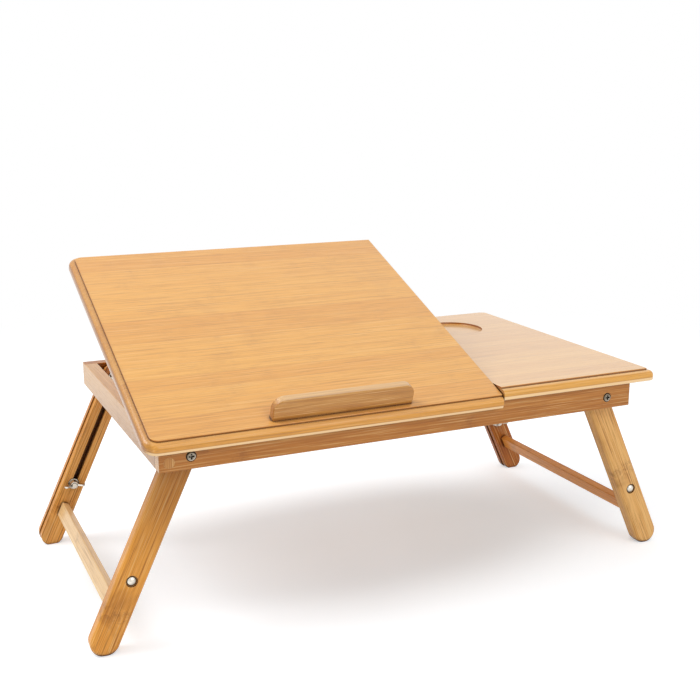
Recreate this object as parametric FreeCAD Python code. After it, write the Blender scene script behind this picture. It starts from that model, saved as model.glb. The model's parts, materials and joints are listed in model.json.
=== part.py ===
import FreeCAD, Part
import math
import os

# Laptop stand with drawer: a bamboo tray on folding, extending legs.
# All sizes in millimetres. The working axes are X to the right from the frame's left face,
# Y to the rear from the frame's front face and Z up from the floor.

V = FreeCAD.Vector
X_AXIS = V(1, 0, 0)
Y_AXIS = V(0, 1, 0)
Z_AXIS = V(0, 0, 1)

# ---------------------------------------------------------------- driving dimensions
# Frame
frame_length = 520.0
frame_depth = 335.0
frame_top = 202.5            # height of the rails' top above the floor
rail_height = 26.5
rail_thickness = 14.0
rail_round = 0.8
plug_radius = 5.0
plug_inset = 9.5             # plug centre from the frame's left face
plug_depth = 6.0
plug_drop = 18.0             # plug centre below the rails' top

# Top panels
border_thickness = 11.0
field_raise = 2.0            # the field stands this much above the border
field_round = 0.8
border_width = 6.5
bullnose_radius = 5.8
lower_edge_round = 1.8
outline_corner_radius = 14.0
field_corner_radius = 8.0
near_outline_radius = 6.5    # at the fixed panel's front corner
near_field_radius = 2.0
front_overhang = 7.5
left_overhang = 14.0
right_overhang = 28.0
tilt_panel_length = 368.5    # along X, from the left overhang to the split
split_gap = 1.0
cup_radius = 38.0
cup_depth = 3.3
cup_round = 2.0
cup_from_split = 93.8        # cup centre to the fixed panel's left edge
cup_from_rear = 80.5         # and to its rear edge

# Tilt
tilt_angle = 20.8            # as it stands, in degrees from flat
tilt_spare_angle = 5.0       # further tilt that the front rail leaves room for
relief_gap = 0.5

# Laptop ledge
ledge_length = 146.0
ledge_height = 22.5
ledge_thickness = 9.0
ledge_setback = 5.5          # from the front edge of the raised field
ledge_from_left = 122.0      # from the panel's left edge
ledge_corner_radius = 12.0
ledge_round = 1.5
ledge_housing = 1.0          # how far the ledge is let into the field
ledge_dowel_radius = 3.0
ledge_dowel_depth = 8.0      # into the panel and into the ledge
ledge_dowel_inset = 28.0

# Butt hinges
hinge_length = 36.0
hinge_from_left = 94.0       # first hinge's near end, from the panel's left edge
hinge_spacing = 170.0
hinge_knuckle_radius = 2.2
hinge_pin_radius = 0.9
hinge_leaf_thickness = 1.2
hinge_leaf_width = 17.0
hinge_knuckle_gap = 0.2
hinge_screw_radius = 1.4
hinge_screw_head_radius = 2.6
hinge_screw_length = 9.0
hinge_screw_inset = 8.0      # from the leaf's ends
hinge_screw_edge = 6.8       # from the leaf's outer edge

# Tilt stay
stay_thickness = 3.0
stay_width = 14.0
stay_pivot_back = 150.0      # pivot behind the hinge axis, with the panel flat
stay_pivot_drop = 8.0        # pivot below the panel's underside
stay_stud_back = 45.0        # stud behind the hinge axis
stay_stud_drop = 14.5        # stud below the rails' top
stay_slot_half_width = 3.5
stay_slot_spare = 1.5        # slot beyond the stud's path at each end
stay_from_rail = 3.0
stud_radius = 2.5
stud_flange_radius = 8.5
stud_flange_thickness = 2.4
stay_pin_radius = 2.0
stay_pin_head_radius = 3.6
stay_pin_head = 1.4
bracket_thickness = 2.0
bracket_length = 20.0
bracket_base_width = 16.0
bracket_screw_inset = 5.0    # from the base's ends
bracket_screw_edge = 6.4     # from the base's outer edge

# Legs
leg_width = 28.0
leg_board = 10.0             # thickness of the upper (outer) board
lower_leg_width = 25.0
lower_leg_board = 10.0
leg_splay = 24.9             # outwards from upright, in degrees
leg_fold_gap = 0.3           # folded leg to the underside of the tops
leg_end_gap = 2.0            # rounded leg top to the end rail
leg_rail_gap = 4.0           # rail to upper leg, filled by the spacer
channel_depth = 2.0
leg_round = 4.5              # the upper leg's outer edges
lower_leg_round = 1.2
foot_flat = 1.8              # how far the floor plane cuts the rounded foot
bolt_distance = 131.0        # pivot to carriage bolt, along the leg
lower_leg_top_gap = 3.0      # pivot washer to the lower leg's top end
lower_leg_corner = 2.0
slot_half_width = 2.9
slot_top_web = 10.0
stretcher_distance = 163.0   # pivot to stretcher, along the leg
stretcher_width = 16.0
stretcher_thickness = 8.0
stretcher_round = 1.0
stretcher_screw_radius = 1.8
stretcher_screw_head_radius = 3.6
stretcher_screw_length = 28.0

# Pivot screws, bolts, nuts
bolt_radius = 2.5
pivot_head_radius = 4.3
pivot_head_height = 2.3
pivot_head_round = 1.1
cross_width = 1.6
cross_span = 5.4
cross_depth = 1.8
pivot_recess_radius = 5.0
pivot_recess_depth = 1.2
spacer_radius = 10.0
washer_radius = 6.0
washer_thickness = 1.0
nut_radius = 4.6             # to the corners
nut_height = 4.0
thread_end = 1.0             # bolt end past its nut
dome_radius = 4.7
dome_height = 2.6
bolt_recess_radius = 5.7
bolt_recess_depth = 1.2
wing_base_radius = 5.0
wing_collar_radius = 4.0
wing_base_height = 5.0
wing_reach = 11.5
wing_height = 10.0
wing_thickness = 1.8
wing_tip_radius = 3.4
wing_foot_rise = 0.5         # wings' underside above the nut's face, at the bore
wing_heel_rise = 1.0         # and where the wings leave the base
wing_heel_reach = 0.5        # that corner beyond the base
front_wing_turn = 90.0       # from across the leg: along it, out of sight from the front
rear_wing_turn = -leg_splay  # and level

# Drawer and its bay
bay_clearance = 3.0          # wing nuts of the folded legs to the bay
divider_thickness = 12.0
runner_wall = 6.0
tongue_height = 4.0
tongue_reach = 3.8
tongue_drop = 13.0           # tongue centre below the rails' top
drawer_front_thickness = 12.0
drawer_board = 8.0
drawer_bottom_thickness = 3.0
drawer_side_height = 23.0
drawer_top_gap = 2.0
drawer_front_gap = 0.8
drawer_side_gap = 0.5
drawer_back_gap = 2.0
drawer_stop_gap = 0.3
drawer_round = 0.8
drawer_board_round = 0.5
knob_radius = 7.0
knob_length = 13.0
knob_neck_radius = 4.0
knob_neck_length = 5.0
knob_round = 2.0
knob_screw_radius = 1.8
knob_screw_head_radius = 3.4
knob_screw_head = 1.6
knob_screw_reach = 8.0       # into the knob

# Clearances
running_gap = 0.2            # between faces that slide or turn on each other
bore_gap = 0.1               # radial, round a shank that something turns on
fit_gap = 0.05               # radial, round a shank that stays put

# ---------------------------------------------------------------- places worked out
frame_bottom = frame_top - rail_height
field_top = frame_top + border_thickness + field_raise
panel_front = -front_overhang
panel_rear = frame_depth + front_overhang
tilt_panel_left = -left_overhang
tilt_panel_right = tilt_panel_left + tilt_panel_length
fixed_panel_left = tilt_panel_right + split_gap
fixed_panel_right = frame_length + right_overhang
split_middle = tilt_panel_right + split_gap / 2

hinge_y = rail_thickness + hinge_knuckle_radius
hinge_z = frame_top - (hinge_knuckle_radius - hinge_leaf_thickness / 2)
hinge_point = V(0, hinge_y, hinge_z)

pivot_x = rail_thickness + leg_end_gap + leg_width / 2
pivot_z = frame_top - leg_fold_gap - leg_width / 2
upper_leg_face = rail_thickness + leg_rail_gap
bolt_seat = upper_leg_face + bolt_recess_depth
channel_floor = upper_leg_face + leg_board - channel_depth
lower_leg_face = channel_floor + running_gap
lower_leg_inner = lower_leg_face + lower_leg_board
clamp_washer_face = lower_leg_inner + running_gap
wing_nut_face = clamp_washer_face + washer_thickness + running_gap
wing_nut_inner = wing_nut_face + wing_height
lower_leg_top = washer_radius + lower_leg_top_gap
slot_top_centre = lower_leg_top + slot_top_web + slot_half_width

splay_cosine = math.cos(math.radians(leg_splay))
foot_distance = (pivot_z - leg_width / 2 + foot_flat) / splay_cosine
lower_foot_distance = (pivot_z - lower_leg_width / 2 + foot_flat) / splay_cosine

bay_front = wing_nut_inner + bay_clearance
bay_rear = frame_depth - bay_front
divider_left = split_middle - divider_thickness / 2
divider_right = split_middle + divider_thickness / 2
drawer_front_face = frame_length
drawer_front_back = drawer_front_face - drawer_front_thickness
drawer_box_back = divider_right + drawer_back_gap
drawer_box_front_y = bay_front + runner_wall + drawer_side_gap
drawer_top = frame_top - drawer_top_gap
drawer_box_bottom = drawer_top - drawer_side_height

REACH = 2 * frame_length     # longer than anything, for cutting tools
SAME_PLACE = 0.0001          # coordinates closer than this are the same


# ---------------------------------------------------------------- helpers
def block(x_range, y_range, z_range):
    size = [high - low for low, high in (x_range, y_range, z_range)]
    return Part.makeBox(*size, V(x_range[0], y_range[0], z_range[0]))


def rod(start, axis, radius, length):
    return Part.makeCylinder(radius, length, start, axis)


def tube(start, axis, outer, inner, length):
    return rod(start, axis, outer, length).cut(rod(start, axis, inner, length))


def bore(point, axis, radius):
    """A cutter that passes right through, both ways from the point."""
    return rod(point - axis * REACH, axis, radius, 2 * REACH)


def hexagon(start, axis, corner_radius, height):
    upright = FreeCAD.Rotation(Z_AXIS, axis)
    sides = 6
    corners = []
    for index in range(sides + 1):
        angle = 2 * math.pi * index / sides
        spoke = V(corner_radius * math.cos(angle), corner_radius * math.sin(angle), 0)
        corners.append(start + upright.multVec(spoke))
    return Part.Face(Part.makePolygon(corners)).extrude(axis * height)


def fuse_all(shapes):
    whole = shapes[0]
    for shape in shapes[1:]:
        whole = whole.fuse(shape)
    return whole.removeSplitter()


def cut_all(shape, tools):
    for tool in tools:
        shape = shape.cut(tool)
    return shape


def edges_where(shape, test):
    return [edge for edge in shape.Edges if test(edge.BoundBox)]


def is_at(box_low, box_high, value):
    return abs(box_low - value) < SAME_PLACE and abs(box_high - value) < SAME_PLACE


def rounded_block(x_range, y_range, z_range, radius):
    shape = block(x_range, y_range, z_range)
    return shape.makeFillet(radius, shape.Edges)


def eased_along_y(x_range, y_range, z_range, radius):
    """A block with only its long edges rounded, for a piece butted at both ends."""
    shape = block(x_range, y_range, z_range)
    return shape.makeFillet(radius, edges_where(shape, lambda b: b.YLength > SAME_PLACE))


def mirrored_y(shape):
    return shape.mirror(V(0, frame_depth / 2, 0), Y_AXIS)


def mirrored_x(shape):
    return shape.mirror(V(frame_length / 2, 0, 0), X_AXIS)


def group(shapes):
    solids = []
    for shape in shapes:
        solids.extend(shape.Solids)
    return Part.makeCompound(solids)


def raised(shape, angle=tilt_angle):
    """Turn a piece built on the flat panel about the hinge axis."""
    turned = shape.copy()
    turned.rotate(hinge_point, X_AXIS, angle)
    return turned


def on_leg(shape):
    """Place a piece built with its pivot at the origin and the leg pointing straight down."""
    placed = shape.copy()
    placed.rotate(V(0, 0, 0), Y_AXIS, leg_splay)
    placed.translate(V(pivot_x, 0, pivot_z))
    return placed


def countersunk_screw(start, axis, radius, head_radius, length):
    head = Part.makeCone(head_radius, radius, head_radius - radius, start, axis)
    return head.fuse(rod(start, axis, radius, length)).removeSplitter()


# ---------------------------------------------------------------- top panels
def round_corner(shape, x, y, radius):
    corner = edges_where(
        shape, lambda b: is_at(b.XMin, b.XMax, x) and is_at(b.YMin, b.YMax, y)
    )
    return shape.makeFillet(radius, corner)


def panel(x_low, x_high, rounded_x, split_x, front_radius, field_front_radius):
    """A slab with a well-rounded upper edge and a raised field, cut square at the split."""
    border_top = frame_top + border_thickness
    slab = block((x_low, x_high), (panel_front, panel_rear), (frame_top, border_top))
    slab = round_corner(slab, rounded_x, panel_front, front_radius)
    slab = round_corner(slab, rounded_x, panel_rear, outline_corner_radius)
    for level, radius in ((border_top, bullnose_radius), (frame_top, lower_edge_round)):
        rim = edges_where(
            slab,
            lambda b: is_at(b.ZMin, b.ZMax, level) and not is_at(b.XMin, b.XMax, split_x),
        )
        slab = slab.makeFillet(radius, rim)

    inner_x = rounded_x + math.copysign(border_width, split_x - rounded_x)
    field_x = (min(inner_x, split_x), max(inner_x, split_x))
    field_y = (panel_front + border_width, panel_rear - border_width)
    field = block(field_x, field_y, (border_top, field_top))
    field = round_corner(field, inner_x, field_y[0], field_front_radius)
    field = round_corner(field, inner_x, field_y[1], field_corner_radius)
    rim = edges_where(
        field,
        lambda b: is_at(b.ZMin, b.ZMax, field_top) and not is_at(b.XMin, b.XMax, split_x),
    )
    field = field.makeFillet(field_round, rim)
    return fuse_all([slab, field])


def fixed_panel():
    shape = panel(
        fixed_panel_left,
        fixed_panel_right,
        fixed_panel_right,
        fixed_panel_left,
        near_outline_radius,
        near_field_radius,
    )
    cup_middle = V(
        fixed_panel_left + cup_from_split,
        panel_rear - cup_from_rear,
        field_top - cup_depth,
    )
    cup = rod(cup_middle, Z_AXIS, cup_radius, 2 * cup_depth)
    floor_edge = edges_where(cup, lambda b: is_at(b.ZMin, b.ZMax, cup_middle.z))
    return shape.cut(cup.makeFillet(cup_round, floor_edge))


def hinge_starts():
    first = tilt_panel_left + hinge_from_left
    return [first, first + hinge_spacing]


def tilt_panel_flat():
    shape = panel(
        tilt_panel_left,
        tilt_panel_right,
        tilt_panel_left,
        tilt_panel_right,
        outline_corner_radius,
        field_corner_radius,
    )
    for start in hinge_starts():
        shape = shape.cut(moving_leaf_plate(start))
        knuckle_room = hinge_knuckle_radius + relief_gap
        room_start = V(start - relief_gap, hinge_y, hinge_z)
        room_length = hinge_length + 2 * relief_gap
        shape = shape.cut(rod(room_start, X_AXIS, knuckle_room, room_length))
    holes = panel_screws_flat() + bracket_screws_flat() + ledge_dowels_flat(fit_gap)
    return cut_all(shape, holes + [ledge_housing_flat()])


# ---------------------------------------------------------------- hinges
def moving_leaf_plate(start):
    return block(
        (start, start + hinge_length),
        (hinge_y, hinge_y + hinge_leaf_width),
        (frame_top, frame_top + hinge_leaf_thickness),
    )


def fixed_leaf_plate(start):
    return block(
        (start, start + hinge_length),
        (rail_thickness, rail_thickness + hinge_leaf_thickness),
        (hinge_z - hinge_leaf_width, hinge_z),
    )


def knuckle_ranges(start):
    """The three knuckles: the outer two are fixed, the middle one moves."""
    third = hinge_length / 3
    half = hinge_knuckle_gap / 2
    outer = [(start, start + third - half), (start + 2 * third + half, start + hinge_length)]
    middle = [(start + third + half, start + 2 * third - half)]
    return outer, middle


def knuckle_cylinders(ranges, radius):
    return [rod(V(low, hinge_y, hinge_z), X_AXIS, radius, high - low) for low, high in ranges]


def hinge_leaf(plate, own_ranges, other_ranges, screws):
    leaf = fuse_all([plate] + knuckle_cylinders(own_ranges, hinge_knuckle_radius))
    wide_ranges = []
    for low, high in other_ranges:
        wide_ranges.append((low - hinge_knuckle_gap, high + hinge_knuckle_gap))
    gaps = knuckle_cylinders(wide_ranges, hinge_knuckle_radius + relief_gap)
    pin_hole = bore(hinge_point, X_AXIS, hinge_pin_radius + fit_gap)
    return cut_all(leaf, gaps + [pin_hole] + screws)


def screw_places(start):
    return [start + hinge_screw_inset, start + hinge_length - hinge_screw_inset]


def rail_screws():
    screws = []
    screw_z = hinge_z - hinge_leaf_width + hinge_screw_edge
    for start in hinge_starts():
        for x in screw_places(start):
            place = V(x, rail_thickness + hinge_leaf_thickness, screw_z)
            screws.append(
                countersunk_screw(
                    place, -Y_AXIS, hinge_screw_radius, hinge_screw_head_radius, hinge_screw_length
                )
            )
    return screws


def panel_screws_flat():
    screws = []
    screw_y = hinge_y + hinge_leaf_width - hinge_screw_edge
    for start in hinge_starts():
        for x in screw_places(start):
            place = V(x, screw_y, frame_top)
            screws.append(
                countersunk_screw(
                    place, Z_AXIS, hinge_screw_radius, hinge_screw_head_radius, hinge_screw_length
                )
            )
    return screws


def fixed_leaves():
    leaves = []
    for start in hinge_starts():
        outer, middle = knuckle_ranges(start)
        leaves.append(hinge_leaf(fixed_leaf_plate(start), outer, middle, rail_screws()))
    return group(leaves)


def moving_leaves_flat():
    leaves = []
    for start in hinge_starts():
        outer, middle = knuckle_ranges(start)
        leaves.append(hinge_leaf(moving_leaf_plate(start), middle, outer, panel_screws_flat()))
    return group(leaves)


def hinge_pins():
    pins = []
    for start in hinge_starts():
        pins.append(rod(V(start, hinge_y, hinge_z), X_AXIS, hinge_pin_radius, hinge_length))
    return group(pins)


# ---------------------------------------------------------------- ledge
ledge_left = tilt_panel_left + ledge_from_left
ledge_front = panel_front + border_width + ledge_setback


def ledge_dowels_flat(gap=0.0):
    dowels = []
    for x in (ledge_left + ledge_dowel_inset, ledge_left + ledge_length - ledge_dowel_inset):
        start = V(x, ledge_front + ledge_thickness / 2, field_top - ledge_dowel_depth)
        dowels.append(rod(start, Z_AXIS, ledge_dowel_radius + gap, 2 * ledge_dowel_depth))
    return dowels


def ledge_housing_flat():
    """The shallow room in the field that the ledge stands in."""
    room = block(
        (ledge_left - fit_gap, ledge_left + ledge_length + fit_gap),
        (ledge_front - fit_gap, ledge_front + ledge_thickness + fit_gap),
        (field_top - ledge_housing, field_top + ledge_housing),
    )
    upright = edges_where(room, lambda b: b.ZLength > SAME_PLACE)
    return room.makeFillet(ledge_round, upright)


def ledge_flat():
    ledge_right = ledge_left + ledge_length
    ledge_top = field_top + ledge_height
    shape = block(
        (ledge_left, ledge_right),
        (ledge_front, ledge_front + ledge_thickness),
        (field_top - ledge_housing, ledge_top),
    )
    corners = edges_where(
        shape, lambda b: b.YLength > SAME_PLACE and is_at(b.ZMin, b.ZMax, ledge_top)
    )
    shape = shape.makeFillet(ledge_corner_radius, corners)
    rim = edges_where(
        shape, lambda b: b.YLength < SAME_PLACE and b.ZMax > field_top + ledge_round
    )
    shape = shape.makeFillet(ledge_round, rim)
    foot = edges_where(shape, lambda b: is_at(b.ZMin, b.ZMax, field_top - ledge_housing))
    shape = shape.makeChamfer(ledge_housing + fit_gap, foot)
    return cut_all(shape, ledge_dowels_flat(fit_gap))


# ---------------------------------------------------------------- tilt stay
stay_left = rail_thickness + stay_from_rail
stay_right = stay_left + stay_thickness
bracket_left = stay_right + running_gap
bracket_right = bracket_left + bracket_thickness
stay_pivot_flat = V(stay_left, hinge_y + stay_pivot_back, frame_top - stay_pivot_drop)
stud_place = V(rail_thickness, hinge_y + stay_stud_back, frame_top - stay_stud_drop)


def turned_about_hinge(point, angle):
    turn = FreeCAD.Rotation(X_AXIS, angle)
    return hinge_point + turn.multVec(point - hinge_point)


def stud_distance(angle):
    """From the stay's pivot to the stud, with the panel raised by the angle."""
    pivot = turned_about_hinge(stay_pivot_flat, angle)
    return math.hypot(pivot.y - stud_place.y, pivot.z - stud_place.z)


def stay_direction(angle):
    """Angle of the stay above level, with the panel raised by the angle."""
    pivot = turned_about_hinge(stay_pivot_flat, angle)
    return math.degrees(math.atan2(pivot.z - stud_place.z, pivot.y - stud_place.y))


def slot_shape(start, stop, half_width, x_low, x_high):
    """A round-ended slot cutter lying along -Y from its pivot at the origin."""
    length = x_high - x_low
    ends = [rod(V(x_low, -place, 0), X_AXIS, half_width, length) for place in (start, stop)]
    middle = block((x_low, x_high), (-stop, -start), (-half_width, half_width))
    return fuse_all(ends + [middle])


def stay():
    slot_start = stud_distance(0) - stay_slot_spare
    slot_stop = stud_distance(tilt_angle + tilt_spare_angle) + stay_slot_spare
    bar = slot_shape(0, slot_stop, stay_width / 2, stay_left, stay_right)
    bar = bar.cut(slot_shape(slot_start, slot_stop, stay_slot_half_width, stay_left, stay_right))
    hole_radius = stay_pin_radius + bore_gap
    bar = bar.cut(rod(V(stay_left, 0, 0), X_AXIS, hole_radius, stay_thickness))
    bar.rotate(V(0, 0, 0), X_AXIS, stay_direction(tilt_angle))
    pivot = turned_about_hinge(stay_pivot_flat, tilt_angle)
    bar.translate(V(0, pivot.y, pivot.z))
    return bar


def stay_bracket_flat():
    middle_y = stay_pivot_flat.y
    ear = rod(V(bracket_left, middle_y, stay_pivot_flat.z), X_AXIS, stay_width / 2, bracket_thickness)
    neck = block(
        (bracket_left, bracket_right),
        (middle_y - stay_width / 2, middle_y + stay_width / 2),
        (stay_pivot_flat.z, frame_top),
    )
    base = block(
        (bracket_left, bracket_left + bracket_base_width),
        (middle_y - bracket_length / 2, middle_y + bracket_length / 2),
        (frame_top - bracket_thickness, frame_top),
    )
    shape = fuse_all([ear, neck, base])
    hole_start = V(bracket_left, middle_y, stay_pivot_flat.z)
    hole = rod(hole_start, X_AXIS, stay_pin_radius + fit_gap, bracket_thickness)
    return cut_all(shape, [hole] + bracket_screws_flat())


def bracket_screws_flat():
    screws = []
    screw_x = bracket_left + bracket_base_width - bracket_screw_edge
    offset = bracket_length / 2 - bracket_screw_inset
    for screw_y in (stay_pivot_flat.y - offset, stay_pivot_flat.y + offset):
        place = V(screw_x, screw_y, frame_top - bracket_thickness)
        screws.append(
            countersunk_screw(
                place, Z_AXIS, hinge_screw_radius, hinge_screw_head_radius, hinge_screw_length
            )
        )
    return screws


def stay_pin_flat():
    head_right = stay_left - running_gap
    head_start = V(head_right - stay_pin_head, stay_pivot_flat.y, stay_pivot_flat.z)
    head = rod(head_start, X_AXIS, stay_pin_head_radius, stay_pin_head)
    shank_length = bracket_right - head_start.x + thread_end
    return fuse_all([head, rod(head_start, X_AXIS, stay_pin_radius, shank_length)])


stay_washer_left = stay_right + running_gap
stay_nut_left = stay_washer_left + washer_thickness + running_gap


def stay_stud():
    flange = rod(stud_place, X_AXIS, stud_flange_radius, stud_flange_thickness)
    stud_length = stay_nut_left + wing_base_height + 2 * thread_end - stud_place.x
    return fuse_all([flange, rod(stud_place, X_AXIS, stud_radius, stud_length)])


def stay_washer():
    start = V(stay_washer_left, stud_place.y, stud_place.z)
    return tube(start, X_AXIS, washer_radius, stud_radius + fit_gap, washer_thickness)


# ---------------------------------------------------------------- wing nuts
def wing_nut():
    """Stands on the XZ plane with its bore along +Y and its wings along X."""
    base = Part.makeCone(wing_base_radius, wing_collar_radius, wing_base_height, V(0, 0, 0), Y_AXIS)
    low_z = -wing_thickness / 2
    tip_x = wing_reach - wing_tip_radius
    tip_y = wing_height - wing_tip_radius
    diagonal = wing_tip_radius * math.cos(math.radians(45))
    foot = V(bolt_radius, wing_foot_rise, low_z)
    heel = V(wing_base_radius + wing_heel_reach, wing_heel_rise, low_z)
    outer = V(wing_reach, tip_y, low_z)
    crown = V(tip_x + diagonal, tip_y + diagonal, low_z)
    top = V(tip_x, wing_height, low_z)
    shoulder = V(bolt_radius, wing_base_height, low_z)
    edges = [
        Part.LineSegment(foot, heel).toShape(),
        Part.LineSegment(heel, outer).toShape(),
        Part.Arc(outer, crown, top).toShape(),
        Part.LineSegment(top, shoulder).toShape(),
        Part.LineSegment(shoulder, foot).toShape(),
    ]
    wing = Part.Face(Part.Wire(edges)).extrude(Z_AXIS * wing_thickness)
    other_wing = wing.mirror(V(0, 0, 0), X_AXIS)
    shape = fuse_all([base, wing, other_wing])
    return shape.cut(bore(V(0, 0, 0), Y_AXIS, bolt_radius + bore_gap))


def stay_wing_nut():
    nut = wing_nut()
    nut.rotate(V(0, 0, 0), Z_AXIS, -90)
    nut.translate(V(stay_nut_left, stud_place.y, stud_place.z))
    return nut


# ---------------------------------------------------------------- legs, built at the front left
def strip_outline(half_width, top, bottom, y, round_top):
    """An upright strip with a round foot; its top end is round or square."""
    edges = []
    top_left = V(-half_width, y, -top)
    top_right = V(half_width, y, -top)
    foot_left = V(-half_width, y, -bottom)
    foot_right = V(half_width, y, -bottom)
    if round_top:
        edges.append(Part.Arc(top_left, V(0, y, half_width - top), top_right).toShape())
    else:
        edges.append(Part.LineSegment(top_left, top_right).toShape())
    edges.append(Part.LineSegment(top_right, foot_right).toShape())
    edges.append(Part.Arc(foot_right, V(0, y, -bottom - half_width), foot_left).toShape())
    edges.append(Part.LineSegment(foot_left, top_left).toShape())
    return Part.Face(Part.Wire(edges))


def below_floor():
    return block((-REACH, REACH), (-REACH, REACH), (-REACH, 0))


def upper_leg():
    face = strip_outline(leg_width / 2, 0, foot_distance, upper_leg_face, True)
    board = face.extrude(Y_AXIS * leg_board)
    rim = edges_where(board, lambda b: is_at(b.YMin, b.YMax, upper_leg_face))
    board = board.makeFillet(leg_round, rim)
    channel_half = lower_leg_width / 2 + running_gap
    channel = block(
        (-channel_half, channel_half),
        (channel_floor, channel_floor + leg_board),
        (-REACH, REACH),
    )
    pivot_hole = bore(V(0, 0, 0), Y_AXIS, bolt_radius + bore_gap)
    bolt_hole = bore(V(0, 0, -bolt_distance), Y_AXIS, bolt_radius + fit_gap)
    bolt_recess = rod(
        V(0, upper_leg_face, -bolt_distance), Y_AXIS, bolt_recess_radius, bolt_recess_depth
    )
    board = cut_all(board, [channel, pivot_hole, bolt_hole, bolt_recess])
    return on_leg(board).cut(below_floor())


def stretcher_screw():
    place = V(0, lower_leg_face, -stretcher_distance)
    return countersunk_screw(
        place,
        Y_AXIS,
        stretcher_screw_radius,
        stretcher_screw_head_radius,
        stretcher_screw_length,
    )


def lower_leg():
    face = strip_outline(
        lower_leg_width / 2, lower_leg_top, lower_foot_distance, lower_leg_face, False
    )
    board = face.extrude(Y_AXIS * lower_leg_board)
    top_corners = edges_where(
        board, lambda b: b.YLength > SAME_PLACE and is_at(b.ZMin, b.ZMax, -lower_leg_top)
    )
    board = board.makeFillet(lower_leg_corner, top_corners)
    rim = edges_where(board, lambda b: is_at(b.YMin, b.YMax, lower_leg_inner))
    board = board.makeFillet(lower_leg_round, rim)
    slot_ends = [
        bore(V(0, 0, -place), Y_AXIS, slot_half_width) for place in (slot_top_centre, bolt_distance)
    ]
    slot_middle = block(
        (-slot_half_width, slot_half_width),
        (0, REACH),
        (-bolt_distance, -slot_top_centre),
    )
    board = cut_all(board, slot_ends + [slot_middle, stretcher_screw()])
    return on_leg(board).cut(below_floor())


def stretcher():
    bar = rounded_block(
        (-stretcher_thickness / 2, stretcher_thickness / 2),
        (lower_leg_inner, frame_depth - lower_leg_inner),
        (-stretcher_distance - stretcher_width / 2, -stretcher_distance + stretcher_width / 2),
        stretcher_round,
    )
    bar = on_leg(bar)
    screw = on_leg(stretcher_screw())
    return cut_all(bar, [screw, mirrored_y(screw)])


def carriage_bolt():
    sphere_radius = (dome_radius**2 + dome_height**2) / (2 * dome_height)
    sphere_middle = V(0, bolt_seat - dome_height + sphere_radius, -bolt_distance)
    sphere = Part.makeSphere(sphere_radius, sphere_middle)
    head_room = block(
        (-dome_radius, dome_radius),
        (bolt_seat - dome_height, bolt_seat),
        (-bolt_distance - dome_radius, -bolt_distance + dome_radius),
    )
    tip = wing_nut_face + wing_base_height + thread_end
    shank_start = V(0, bolt_seat, -bolt_distance)
    shank = rod(shank_start, Y_AXIS, bolt_radius, tip - bolt_seat)
    return on_leg(fuse_all([sphere.common(head_room), shank]))


def clamp_washer():
    start = V(0, clamp_washer_face, -bolt_distance)
    return on_leg(tube(start, Y_AXIS, washer_radius, bolt_radius + fit_gap, washer_thickness))


def leg_wing_nut(turn):
    nut = wing_nut()
    nut.rotate(V(0, 0, 0), Y_AXIS, turn)
    nut.translate(V(0, wing_nut_face, -bolt_distance))
    return on_leg(nut)


def pivot_screw():
    crown_y = pivot_recess_depth - pivot_head_height
    start = V(pivot_x, crown_y, pivot_z)
    head = rod(start, Y_AXIS, pivot_head_radius, pivot_head_height)
    crown = edges_where(head, lambda b: is_at(b.YMin, b.YMax, crown_y))
    head = head.makeFillet(pivot_head_round, crown)
    for width, height in ((cross_width, cross_span), (cross_span, cross_width)):
        slot = block(
            (pivot_x - width / 2, pivot_x + width / 2),
            (crown_y, crown_y + cross_depth),
            (pivot_z - height / 2, pivot_z + height / 2),
        )
        head = head.cut(slot)
    tip = channel_floor + running_gap + washer_thickness + nut_height + thread_end
    shank_start = V(pivot_x, pivot_recess_depth, pivot_z)
    shank = rod(shank_start, Y_AXIS, bolt_radius, tip - pivot_recess_depth)
    return fuse_all([head, shank])


def pivot_spacer():
    start = V(pivot_x, rail_thickness, pivot_z)
    length = leg_rail_gap - running_gap
    return tube(start, Y_AXIS, spacer_radius, bolt_radius + fit_gap, length)


def pivot_washer():
    start = V(pivot_x, channel_floor + running_gap, pivot_z)
    return tube(start, Y_AXIS, washer_radius, bolt_radius + fit_gap, washer_thickness)


def pivot_nut():
    start = V(pivot_x, channel_floor + running_gap + washer_thickness, pivot_z)
    nut = hexagon(start, Y_AXIS, nut_radius, nut_height)
    return nut.cut(rod(start, Y_AXIS, bolt_radius + fit_gap, nut_height))


def four_corners(shape):
    front = [shape, mirrored_x(shape)]
    return group(front + [mirrored_y(copy) for copy in front])


# ---------------------------------------------------------------- frame
def tilt_relief():
    """The room under the tilting panel's front edge at its highest tilt."""
    room = block(
        (tilt_panel_left, split_middle),
        (panel_front - REACH, hinge_y + hinge_knuckle_radius),
        (frame_top - relief_gap, frame_top + REACH),
    )
    return raised(room, tilt_angle + tilt_spare_angle)


def leg_stop_room():
    """The room on the inner side of the splayed leg's outer edge."""
    room = block(
        (-leg_width / 2 - running_gap, REACH),
        (-REACH, REACH),
        (-REACH, REACH),
    )
    return on_leg(room)


def corner_plug():
    middle = V(plug_inset, 0, frame_top - plug_drop)
    return rod(middle, Y_AXIS, plug_radius, plug_depth)


def cross_rail():
    shape = rounded_block(
        (0, frame_length), (0, rail_thickness), (frame_bottom, frame_top), rail_round
    )
    for x in (pivot_x, frame_length - pivot_x):
        place = V(x, 0, pivot_z)
        shape = shape.cut(bore(place, Y_AXIS, bolt_radius + fit_gap))
        shape = shape.cut(rod(place, Y_AXIS, pivot_recess_radius, pivot_recess_depth))
    return shape.cut(corner_plug())


def front_rail():
    return cut_all(cross_rail(), [tilt_relief()] + rail_screws())


def rear_rail():
    return mirrored_y(cross_rail())


def left_end_rail():
    shape = eased_along_y(
        (0, rail_thickness),
        (rail_thickness, frame_depth - rail_thickness),
        (frame_bottom, frame_top),
        rail_round,
    )
    return cut_all(shape, [tilt_relief(), leg_stop_room()])


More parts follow.
